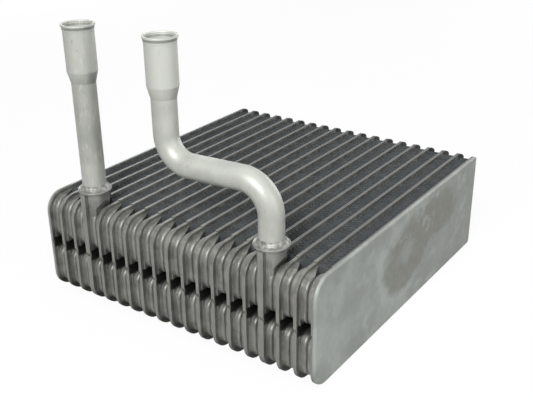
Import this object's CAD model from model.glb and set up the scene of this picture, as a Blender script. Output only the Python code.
"""Evaporator core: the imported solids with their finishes, a white studio floor and a camera."""
import math

import bmesh
import bpy
from mathutils import Matrix, Vector


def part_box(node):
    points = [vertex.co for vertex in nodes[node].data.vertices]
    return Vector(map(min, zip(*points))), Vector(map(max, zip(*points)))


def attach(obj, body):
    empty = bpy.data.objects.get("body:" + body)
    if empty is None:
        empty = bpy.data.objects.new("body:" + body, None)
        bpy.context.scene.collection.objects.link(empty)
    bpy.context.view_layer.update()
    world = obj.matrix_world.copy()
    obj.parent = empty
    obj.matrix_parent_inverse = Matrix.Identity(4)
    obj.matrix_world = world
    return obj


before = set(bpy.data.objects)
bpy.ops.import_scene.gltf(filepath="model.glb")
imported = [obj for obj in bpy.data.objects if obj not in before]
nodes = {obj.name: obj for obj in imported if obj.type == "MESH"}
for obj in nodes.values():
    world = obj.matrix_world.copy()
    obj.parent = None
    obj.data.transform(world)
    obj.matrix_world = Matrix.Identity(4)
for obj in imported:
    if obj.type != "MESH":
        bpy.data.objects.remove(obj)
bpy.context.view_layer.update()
scene = bpy.context.scene
scene.view_settings.view_transform = "Standard"

# The frame, in metres: X along the stack, Y from front to back, Z up
PLATES = [name for name in nodes if name.startswith("plate_")]
FINS = [name for name in nodes if name.startswith("fin_")]
core_low, core_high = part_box("end_plate_right")
CORE_FRONT = core_low[1]
CORE_BACK = core_high[1]
CORE_TOP = core_high[2]
straight_low, straight_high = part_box("straight_tube")
MOUTH_R = (straight_high[0] - straight_low[0]) / 2
BEAD_R = 0.00085

# The photograph's viewpoint: metres, degrees, and millimetres for the lens
PHOTO_WIDTH = 533
HALF_PIXEL = 0.5 / PHOTO_WIDTH
CAMERA_PLACE = (0.3143, -0.4503, 0.3017)
CAMERA_YAW = 35.22
CAMERA_PITCH = 24.35
CAMERA_ROLL = -0.71
CAMERA_LENS = 55.05
CAMERA_SENSOR = 36.0

# Bands on the sheets: where a mark starts to show, and where it is full
WET_CUPS = (0.0100, 0.0050)
TOP_EDGES = (CORE_TOP - 0.0008, CORE_TOP - 0.0001)
BEHIND_CUPS = (CORE_FRONT + 0.020, CORE_FRONT + 0.036)
TOP_CORNERS = (CORE_TOP - 0.012, CORE_TOP - 0.004)
BACK_EDGES = (CORE_BACK - 0.0075, CORE_BACK - 0.004)
POCKET_HALF_HEIGHT = (0.0046, 0.0030)
POCKET_FRONT = (CORE_FRONT + 0.0004, CORE_FRONT + 0.0014)
POCKET_BACK = (CORE_FRONT + 0.030, CORE_FRONT + 0.023)
FRONT_EDGES = (CORE_FRONT + 0.0006, CORE_FRONT + 0.0001)
COLLARS = (CORE_TOP, CORE_TOP + 0.006)
SHEET_REAR = (-0.02, 0.11)

# The fins' louvres: from slit to slit, and the dark band along each slit
LOUVRE_PITCH = 0.0011
LOUVRE_SLIT = (0.0002, 0.00008)

# Bands on the tubes, placed from the straight tube's mouth and from the top of the core
SOCKET_FOOT = straight_high[2] - 0.0375
SOCKETS = (SOCKET_FOOT, SOCKET_FOOT + 0.008)
BRUSHED_TOP = CORE_TOP + 0.0275
BRUSHED_FOOT = (BRUSHED_TOP + 0.0035, BRUSHED_TOP)
GRIME_DROP = 0.0023
GRIME_LINE = (0.0009, 0.0003)

# The dried patch: the middle and the half size of its ovals in Y and Z, and how far they wander
PATCH_OVALS = {
    "body": ((0.000, 0.040), (0.033, 0.025)),
    "tail": ((0.040, 0.052), (0.042, 0.017)),
    "inner": ((0.000, 0.045), (0.013, 0.007)),
}
PATCH_WANDER = 0.035

# The patch's pale rim fades in downwards and forwards: how much Y counts beside Z, and the band
RIM_SLANT = 0.9
RIM_BAND = (0.040, 0.015)

# The studio
FLOOR_HALF = 6.0
FLOOR_GAP = 0.0002
PAPER_GLOW_SEEN = 0.92
PAPER_GLOW_MIRRORED = 0.2
SURROUND_LIGHT = 0.22
LAMP_AIM = Vector((0.0, 0.0, 0.06))


# Camera

def place_camera():
    """The photograph's viewpoint: from the right front, 24 degrees above the core."""
    data = bpy.data.cameras.new("camera")
    data.lens = CAMERA_LENS
    data.sensor_width = CAMERA_SENSOR
    data.sensor_fit = "HORIZONTAL"
    data.shift_x = -HALF_PIXEL
    data.shift_y = HALF_PIXEL
    data.clip_start = 0.01
    data.clip_end = 50.0
    camera = bpy.data.objects.new("camera", data)
    scene.collection.objects.link(camera)
    yaw, pitch, roll = map(math.radians, (CAMERA_YAW, CAMERA_PITCH, CAMERA_ROLL))
    right = Vector((math.cos(yaw), math.sin(yaw), 0.0))
    level = Vector((-math.sin(yaw), math.cos(yaw), 0.0))
    forward = math.cos(pitch) * level - Vector((0.0, 0.0, math.sin(pitch)))
    up = right.cross(forward)
    across = math.cos(roll) * right + math.sin(roll) * up
    upright = math.cos(roll) * up - math.sin(roll) * right
    turn = Matrix((across, upright, -forward)).transposed().to_4x4()
    camera.matrix_world = Matrix.Translation(CAMERA_PLACE) @ turn
    scene.camera = camera


# Colours and nodes

def linear(hex_colour):
    """sRGB hex to a linear RGBA colour."""
    channels = [int(hex_colour[i:i + 2], 16) / 255 for i in (1, 3, 5)]
    return (*[c / 12.92 if c <= 0.04045 else ((c + 0.055) / 1.055) ** 2.4 for c in channels], 1.0)


def per(mm):
    """Texture scale for a feature of this size, on Object coordinates in metres."""
    return 1000.0 / mm


def add(tree, kind, sockets=None, **settings):
    """Adds one node with its settings. A socket gets a number, a hex colour, or a link."""
    node = tree.nodes.new(kind)
    for name, value in settings.items():
        setattr(node, name, value)
    for name, value in (sockets or {}).items():
        if isinstance(value, bpy.types.NodeSocket):
            tree.links.new(value, node.inputs[name])
        else:
            node.inputs[name].default_value = linear(value) if isinstance(value, str) else value
    return node


def empty_tree(owner):
    """The node tree of a material or a world, with nothing in it yet."""
    owner.use_nodes = True
    owner.node_tree.nodes.clear()
    return owner.node_tree


def start_finish(name):
    """An empty material for a finish; returns it, its tree and the Object coordinates."""
    material = bpy.data.materials.new(name)
    tree = empty_tree(material)
    return material, tree, add(tree, "ShaderNodeTexCoord").outputs["Object"]


def lay_coats(tree, colour, coats):
    """Lays colours over the first one, each as strong as its share where its fades are full.

    A fade is a value with a pair: where the colour starts to show, and where it is full. A colour
    with several fades shows only where they meet.
    """
    for tone, share, *fades in coats:
        for value, (start, full) in fades:
            share = add(tree, "ShaderNodeMapRange", {
                "Value": value, "From Min": start, "From Max": full, "To Max": share},
                interpolation_type="SMOOTHSTEP").outputs["Result"]
        # A colour Mix takes the share in 0, the colour under it in 6 and the new one in 7
        colour = add(tree, "ShaderNodeMix", {0: share, 6: colour, 7: tone},
                     data_type="RGBA").outputs[2]
    return colour


# Finishes

def brazed_sheet():
    """Stamped aluminium sheet clad with brazing alloy, as it leaves the furnace.

    The clad melts and sets with a satin skin, a little cloudy and slightly warm in tone. Drawing
    marks run up the cups, and every cut edge is softly rounded.
    """
    material, tree, place = start_finish("brazed aluminium sheet")
    axes = add(tree, "ShaderNodeSeparateXYZ", {"Vector": place}).outputs
    depth = axes["Y"]
    height = axes["Z"]
    cloud = add(tree, "ShaderNodeTexNoise", {
        "Vector": place, "Scale": per(9), "Detail": 4.0}).outputs["Fac"]
    drawn = add(tree, "ShaderNodeMapping", {"Vector": place, "Scale": (1.0, 1.0, 0.12)})
    grain = add(tree, "ShaderNodeTexNoise", {
        "Vector": drawn.outputs["Vector"], "Scale": per(1.1), "Detail": 3.0}).outputs["Fac"]
    above = add(tree, "ShaderNodeMath", {0: height, 1: CORE_TOP / 2}, operation="SUBTRACT")
    off_middle = add(tree, "ShaderNodeMath", {0: above.outputs[0]}, operation="ABSOLUTE").outputs[0]
    colour = lay_coats(tree, "#6E6E6A", (
        # Clouds in the clad, and the drawing marks
        ("#888883", 1.0, (cloud, (0.35, 0.66))),
        ("#9E9E98", 0.55, (grain, (0.52, 0.72))),
        # Water has darkened the bottoms of the lower cups
        ("#232322", 0.9, (height, WET_CUPS)),
        # Dust has dulled the top edges behind the cups
        ("#646665", 0.8, (height, TOP_EDGES), (depth, BEHIND_CUPS)),
        # The top corners at the back came out of the furnace dark
        ("#393938", 0.6, (height, TOP_CORNERS), (depth, BACK_EDGES)),
        # Flux has baked dark in the pockets between the upper and lower cups
        ("#2B2B29", 1.0, (off_middle, POCKET_HALF_HEIGHT), (depth, POCKET_FRONT),
         (depth, POCKET_BACK)),
        # The front edges are rubbed bright, and the collars are clean
        ("#8C8C86", 0.6, (depth, FRONT_EDGES)),
        ("#8A8B87", 1.0, (height, COLLARS))))
    rough = add(tree, "ShaderNodeMapRange", {
        "Value": cloud, "From Min": 0.3, "From Max": 0.7, "To Min": 0.37, "To Max": 0.5})
    edge = add(tree, "ShaderNodeBevel", {"Radius": 0.00035}, samples=4).outputs["Normal"]
    relief = add(tree, "ShaderNodeBump", {
        "Height": grain, "Distance": 0.00003, "Strength": 0.6, "Normal": edge}).outputs["Normal"]
    shader = add(tree, "ShaderNodeBsdfPrincipled", {
        "Base Color": colour, "Metallic": 0.55, "Roughness": rough.outputs["Result"],
        "Normal": relief})
    add(tree, "ShaderNodeOutputMaterial", {"Surface": shader.outputs["BSDF"]})
    return material


def fin_foil():
    """Rolled aluminium foil, folded and louvred.

    The louvres are slits 1.1 mm apart across every fold. They stay in the finish: darker lines
    with a raised lip between them. The crowns along the top look dull and faintly speckled.
    """
    material, tree, place = start_finish("louvred aluminium fin foil")
    height = add(tree, "ShaderNodeSeparateXYZ", {"Vector": place}).outputs["Z"]
    slits = add(tree, "ShaderNodeMath", {0: height, 1: LOUVRE_PITCH / 2},
                operation="PINGPONG").outputs[0]
    cloud = add(tree, "ShaderNodeTexNoise", {
        "Vector": place, "Scale": per(7), "Detail": 3.0}).outputs["Fac"]
    speck = add(tree, "ShaderNodeTexNoise", {
        "Vector": place, "Scale": per(1.6), "Detail": 2.0}).outputs["Fac"]
    colour = lay_coats(tree, "#585C5E", (
        ("#676B6D", 1.0, (cloud, (0.35, 0.65))),
        ("#737777", 0.5, (speck, (0.56, 0.7))),
        ("#2B2E30", 1.0, (slits, LOUVRE_SLIT))))
    relief = add(tree, "ShaderNodeBump", {
        "Height": slits, "Distance": 0.4, "Strength": 0.5}).outputs["Normal"]
    shader = add(tree, "ShaderNodeBsdfPrincipled", {
        "Base Color": colour, "Metallic": 0.2, "Roughness": 0.55, "Normal": relief})
    add(tree, "ShaderNodeOutputMaterial", {"Surface": shader.outputs["BSDF"]})
    return material


def end_sheet(name, stained):
    """Flat aluminium sheet with a dull oxide skin: greenish grey, mottled, duller to the rear."""
    material, tree, place = start_finish(name)
    depth = add(tree, "ShaderNodeSeparateXYZ", {"Vector": place}).outputs["Y"]
    cloud = add(tree, "ShaderNodeTexNoise", {
        "Vector": place, "Scale": per(26), "Detail": 4.0}).outputs["Fac"]
    fine = add(tree, "ShaderNodeTexNoise", {
        "Vector": place, "Scale": per(5), "Detail": 4.0}).outputs["Fac"]
    patches = add(tree, "ShaderNodeTexNoise", {
        "Vector": place, "Scale": per(13), "Detail": 7.0, "Roughness": 0.65}).outputs["Fac"]
    colour = lay_coats(tree, "#8F948F", (
        ("#A5AAA5", 1.0, (cloud, (0.32, 0.68))),
        ("#8A8C88", 0.8, (depth, SHEET_REAR)),
        ("#A9AEA8", 0.4, (patches, (0.52, 0.66)))))
    if stained:
        colour = dried_patch(tree, place, patches, colour)
    rough = add(tree, "ShaderNodeMapRange", {
        "Value": fine, "From Min": 0.3, "From Max": 0.7, "To Min": 0.46, "To Max": 0.6})
    edge = add(tree, "ShaderNodeBevel", {"Radius": 0.0006}, samples=4).outputs["Normal"]
    relief = add(tree, "ShaderNodeBump", {
        "Height": fine, "Distance": 0.00008, "Strength": 0.6, "Normal": edge}).outputs["Normal"]
    shader = add(tree, "ShaderNodeBsdfPrincipled", {
        "Base Color": colour, "Metallic": 0.4, "Roughness": rough.outputs["Result"],
        "Normal": relief})
    add(tree, "ShaderNodeOutputMaterial", {"Surface": shader.outputs["BSDF"]})
    return material


def dried_patch(tree, place, patches, under):
    """Colour of the sheet where flux and water dried on it, over the colour under it.

    They left a brown-olive patch past the middle of the sheet, with a pale rim along its lower
    front side, a pale blot inside it and pale flecks around its tail.
    """
    wander = add(tree, "ShaderNodeTexNoise", {
        "Vector": place, "Scale": per(30), "Detail": 6.0, "Roughness": 0.62}).outputs["Color"]
    centred = add(tree, "ShaderNodeVectorMath", {0: wander, 1: (0.5, 0.5, 0.5)},
                  operation="SUBTRACT").outputs[0]
    moved = add(tree, "ShaderNodeVectorMath", {0: centred, 1: (PATCH_WANDER,) * 3, 2: place},
                operation="MULTIPLY_ADD").outputs[0]
    reach = {}
    for part, (middle, half) in PATCH_OVALS.items():
        scale = (0.0, 1.0 / half[0], 1.0 / half[1])
        shift = (0.0, -middle[0] / half[0], -middle[1] / half[1])
        local = add(tree, "ShaderNodeVectorMath", {0: moved, 1: scale, 2: shift},
                    operation="MULTIPLY_ADD").outputs[0]
        reach[part] = add(tree, "ShaderNodeVectorMath", {0: local},
                          operation="LENGTH").outputs["Value"]
    outline = add(tree, "ShaderNodeMath", {0: reach["body"], 1: reach["tail"]},
                  operation="MINIMUM").outputs[0]
    axes = add(tree, "ShaderNodeSeparateXYZ", {"Vector": place}).outputs
    slant = add(tree, "ShaderNodeMath", {0: axes["Y"], 1: RIM_SLANT, 2: axes["Z"]},
                operation="MULTIPLY_ADD").outputs[0]
    return lay_coats(tree, under, (
        ("#ABB1AD", 0.75, (outline, (1.42, 1.12)), (slant, RIM_BAND)),
        ("#7A7C72", 0.88, (outline, (1.22, 0.8))),
        ("#9BA19C", 0.6, (reach["inner"], (1.5, 0.4))),
        ("#A4AAA4", 0.55, (reach["tail"], (2.2, 1.0)), (patches, (0.58, 0.66)))))


def drawn_tube(name, mouth, tones, brushed, streaks):
    """Drawn aluminium tube, annealed for bending and expanding.

    It is pale and matte, with faint scuffs along its length and a few dark nicks. The expander has
    burnished the sockets a little brighter than the tube below them. The straight tube's foot is
    bright too, where it was brushed clean for brazing. Grime lies in a thin line under the rim.
    """
    material, tree, place = start_finish(name)
    dull, clean, burnished = tones
    height = add(tree, "ShaderNodeSeparateXYZ", {"Vector": place}).outputs["Z"]
    cloud = add(tree, "ShaderNodeTexNoise", {
        "Vector": place, "Scale": per(14), "Detail": 3.0}).outputs["Fac"]
    along = add(tree, "ShaderNodeMapping", {"Vector": place, "Scale": (1.0, 1.0, 0.2)})
    scuff = add(tree, "ShaderNodeTexNoise", {
        "Vector": along.outputs["Vector"], "Scale": per(1.6), "Detail": 4.0}).outputs["Fac"]
    speck = add(tree, "ShaderNodeTexNoise", {
        "Vector": place, "Scale": per(2.2), "Detail": 1.0}).outputs["Fac"]
    above = add(tree, "ShaderNodeMath", {0: height, 1: mouth - GRIME_DROP}, operation="SUBTRACT")
    off_line = add(tree, "ShaderNodeMath", {0: above.outputs[0]}, operation="ABSOLUTE").outputs[0]
    colour = lay_coats(tree, dull, (
        (clean, 1.0, (cloud, (0.3, 0.7))),
        (burnished, 1.0, (height, SOCKETS)),
        (burnished, brushed, (height, BRUSHED_FOOT)),
        # The line of grime, then dark and bright scuffs, then nicks
        ("#6F716C", 0.7, (off_line, GRIME_LINE)),
        ("#94968F", 0.4, (scuff, (0.6, 0.76))),
        ("#D0D2CB", streaks, (scuff, (0.44, 0.3))),
        ("#7D7E79", 0.55, (speck, (0.74, 0.8)))))
    relief = add(tree, "ShaderNodeBump", {
        "Height": scuff, "Distance": 0.00003, "Strength": 0.5}).outputs["Normal"]
    shader = add(tree, "ShaderNodeBsdfPrincipled", {
        "Base Color": colour, "Metallic": 0.3, "Roughness": 0.47, "Normal": relief})
    add(tree, "ShaderNodeOutputMaterial", {"Surface": shader.outputs["BSDF"]})
    return material


def braze_metal():
    """Aluminium-silicon braze, set as a fillet: lumpy and grey, paler where the metal set clear."""
    material, tree, place = start_finish("aluminium-silicon braze")
    lump = add(tree, "ShaderNodeTexNoise", {
        "Vector": place, "Scale": per(2.5), "Detail": 3.0}).outputs["Fac"]
    colour = lay_coats(tree, "#6F706B", [("#9A9B95", 1.0, (lump, (0.36, 0.64)))])
    relief = add(tree, "ShaderNodeBump", {
        "Height": lump, "Distance": 0.0005, "Strength": 0.8}).outputs["Normal"]
    shader = add(tree, "ShaderNodeBsdfPrincipled", {
        "Base Color": colour, "Metallic": 0.4, "Roughness": 0.42, "Normal": relief})
    add(tree, "ShaderNodeOutputMaterial", {"Surface": shader.outputs["BSDF"]})
    return material


def dress(names, material):
    """Puts a finish on CAD nodes."""
    for name in names:
        mesh = nodes[name].data
        mesh.materials.clear()
        mesh.materials.append(material)


# Rolled rims

def roll_rim(tube, finish):
    """The bead rolled at a socket's mouth: a round ring that throws a thin shadow under itself.

    The mouth lies at the left and the back of its tube's box.
    """
    tube_low, tube_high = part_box(tube)
    centre = Vector((tube_low[0] + MOUTH_R, tube_high[1] - MOUTH_R, tube_high[2]))
    mesh = bpy.data.meshes.new(tube + "_rolled_rim")
    shape = bmesh.new()
    section = bmesh.ops.create_circle(shape, segments=20, radius=BEAD_R)["verts"]
    upright = Matrix.Rotation(math.radians(90), 4, "X")
    out = Matrix.Translation(centre + Vector((MOUTH_R - BEAD_R, 0.0, -BEAD_R)))
    bmesh.ops.transform(shape, matrix=out @ upright, verts=section)
    bmesh.ops.spin(shape, geom=shape.verts[:] + shape.edges[:], cent=centre,
                   axis=(0.0, 0.0, 1.0), angle=math.tau, steps=96, use_merge=True)
    bmesh.ops.remove_doubles(shape, verts=shape.verts, dist=1e-6)
    bmesh.ops.recalc_face_normals(shape, faces=shape.faces)
    for face in shape.faces:
        face.smooth = True
    shape.to_mesh(mesh)
    shape.free()
    mesh.materials.append(finish)
    rim = bpy.data.objects.new(tube + "_rolled_rim", mesh)
    scene.collection.objects.link(rim)
    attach(rim, "root")


# Studio

def seen_by(tree):
    """What sees a surface: the camera, also through glass, a reflection, or either of the two."""
    rays = add(tree, "ShaderNodeLightPath").outputs
    mirrored = rays["Is Glossy Ray"]
    camera = add(tree, "ShaderNodeMath", {
        0: rays["Is Camera Ray"], 1: rays["Is Transmission Ray"]}, operation="MAXIMUM").outputs[0]
    either = add(tree, "ShaderNodeMath", {0: camera, 1: mirrored}, operation="MAXIMUM").outputs[0]
    return camera, mirrored, either


def lay_floor():
    """White paper under the core: near white to the camera, with a faint shadow.

    Metal mirrors the paper with the core's shadow on it. The paper throws little light back up,
    so the undersides stay dark.
    """
    mesh = bpy.data.meshes.new("floor")
    shape = bmesh.new()
    bmesh.ops.create_grid(shape, x_segments=1, y_segments=1, size=FLOOR_HALF)
    shape.to_mesh(mesh)
    shape.free()
    floor = bpy.data.objects.new("floor", mesh)
    floor.location.z = -FLOOR_GAP
    scene.collection.objects.link(floor)
    material = bpy.data.materials.new("white studio paper")
    tree = empty_tree(material)
    camera, mirrored, either = seen_by(tree)
    tone = add(tree, "ShaderNodeMix", {0: either, 6: "#3A3A3A", 7: "#FCFCFC"},
               data_type="RGBA").outputs[2]
    paper = add(tree, "ShaderNodeBsdfDiffuse", {"Color": tone})
    glow = add(tree, "ShaderNodeEmission", {"Color": "#FFFFFF", "Strength": 1.0})
    part = add(tree, "ShaderNodeMath", {0: mirrored, 1: PAPER_GLOW_MIRRORED},
               operation="MULTIPLY").outputs[0]
    share = add(tree, "ShaderNodeMath", {0: camera, 1: PAPER_GLOW_SEEN, 2: part},
                operation="MULTIPLY_ADD").outputs[0]
    surface = add(tree, "ShaderNodeMixShader", {0: share, 1: paper.outputs[0], 2: glow.outputs[0]})
    add(tree, "ShaderNodeOutputMaterial", {"Surface": surface.outputs[0]})
    mesh.materials.append(material)


def light_world():
    """An even surround: white where the camera or the metal sees it, softer as light."""
    world = bpy.data.worlds.new("surround")
    tree = empty_tree(world)
    strength = add(tree, "ShaderNodeMapRange", {
        "Value": seen_by(tree)[2], "To Min": SURROUND_LIGHT, "To Max": 1.0}).outputs["Result"]
    ground = add(tree, "ShaderNodeBackground", {"Color": "#FFFFFF", "Strength": strength})
    add(tree, "ShaderNodeOutputWorld", {"Surface": ground.outputs[0]})
    scene.world = world


def hang_lamp(name, place, size, watts):
    """A square soft lamp aimed at the core."""
    data = bpy.data.lights.new(name, "AREA")
    data.shape = "SQUARE"
    data.size = size
    data.energy = watts
    lamp = bpy.data.objects.new(name, data)
    lamp.location = place
    lamp.rotation_euler = (LAMP_AIM - Vector(place)).to_track_quat("-Z", "Y").to_euler()
    scene.collection.objects.link(lamp)


# The whole scene

place_camera()
dress(PLATES, brazed_sheet())
dress(FINS, fin_foil())
dress(["end_plate_right"], end_sheet("stained aluminium end sheet", True))
dress(["end_plate_left"], end_sheet("oxidised aluminium end sheet", False))
for tube, tones, brushed, streaks in (
        ("straight_tube", ("#9FA19A", "#AFB1AA", "#B9BBB4"), 0.75, 0.5),
        ("bent_tube", ("#B0B2AB", "#BEC0B9", "#C5C7C0"), 0.0, 0.1)):
    finish = drawn_tube("matte aluminium of the " + tube.replace("_", " "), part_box(tube)[1][2],
                        tones, brushed, streaks)
    dress([tube], finish)
    roll_rim(tube, finish)
dress(["straight_tube_braze", "bent_tube_braze"], braze_metal())
lay_floor()
light_world()
hang_lamp("key lamp", (0.3, -1.1, 0.95), 0.6, 17.0)
hang_lamp("side lamp", (1.2, -0.2, 0.6), 0.9, 5.6)
hang_lamp("top lamp", (0.0, 0.1, 1.4), 1.2, 3.6)
hang_lamp("back lamp", (0.25, 1.35, 0.3), 0.8, 5.5)
hang_lamp("left lamp", (-1.3, 0.75, 0.2), 0.8, 6.0)
